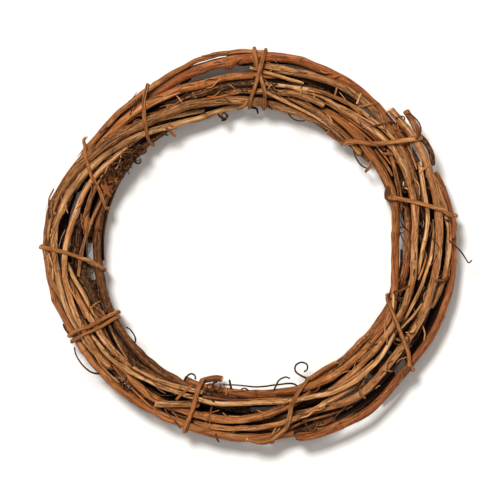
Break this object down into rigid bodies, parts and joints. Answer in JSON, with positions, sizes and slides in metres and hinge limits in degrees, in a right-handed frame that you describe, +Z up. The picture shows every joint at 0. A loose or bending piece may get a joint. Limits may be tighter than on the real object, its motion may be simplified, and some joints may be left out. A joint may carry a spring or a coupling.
{
  "type": "grapevine wreath",
  "caption": "Slim round grapevine wreath of long woody canes laid side by side and bound by thin vines, with cut stubs and tendrils.",
  "frame": {"origin": "on the surface that the wreath lies on, under the middle of its bounding box", "axes": "+Z up out of the ring's flat side, +Y towards the two crossed binding strands at the top of the picture, +X towards the picture's right"},
  "size_m": [0.3182, 0.2938, 0.0415],
  "materials": {
    "orange_bark": "satin",
    "red_bark": "satin",
    "tan_bark": "matte",
    "pale_bark": "matte",
    "grey_bark": "rough",
    "brown_bark": "rough",
    "dark_bark": "rough",
    "tie_bark": "matte"
  },
  "bodies": {
    "root": {"outer_right_cane": "red_bark", "tan_right_cane": "tan_bark", "thick_top_cane": "red_bark", "outer_left_cane": "orange_bark", "shaggy_cane": "grey_bark", "orange_upper_cane": "orange_bark", "streaked_cane": "grey_bark", "pale_cane": "pale_bark", "tan_left_cane": "tan_bark", "tan_middle_cane": "tan_bark", "orange_inner_cane": "orange_bark", "brown_inner_cane": "brown_bark", "orange_lower_cane": "orange_bark", "pale_lower_cane": "pale_bark", "tan_lower_cane": "tan_bark", "brown_left_cane": "brown_bark", "dark_cane": "dark_bark", "tan_stub_cane": "tan_bark", "tan_inner_cane": "tan_bark", "pale_thin_cane_top": "pale_bark", "pale_thin_cane_upper": "pale_bark", "pale_short_cane": "pale_bark", "orange_thin_lower_cane": "orange_bark", "second_right_cane": "tan_bark", "pale_thin_cane_right": "pale_bark", "crossing_thin_cane": "orange_bark", "bent_right_shoot": "pale_bark", "slanting_thin_cane": "tan_bark", "bent_left_shoot": "pale_bark", "tan_left_upper_cane": "tan_bark", "pale_pair_cane": "pale_bark", "thin_left_shoot": "tan_bark", "tan_short_left_cane": "tan_bark", "dark_thin_lower_cane": "dark_bark", "pale_cane_upper_left": "pale_bark", "cut_shoot_lower_left": "tan_bark", "under_inner_cane": "brown_bark", "under_middle_cane": "dark_bark", "under_outer_cane": "brown_bark", "inside_outer_cane": "red_bark", "inside_inner_cane": "brown_bark", "tie_top": "tie_bark", "tie_upper_left": "tie_bark", "tie_left_upper": "tie_bark", "tie_left": "tie_bark", "tie_lower_left": "tie_bark", "tie_bottom_left": "tie_bark", "tie_bottom": "tie_bark", "tie_lower_right": "tie_bark", "tie_right": "tie_bark", "tie_upper_right": "tie_bark"}
  },
  "joints": []
}
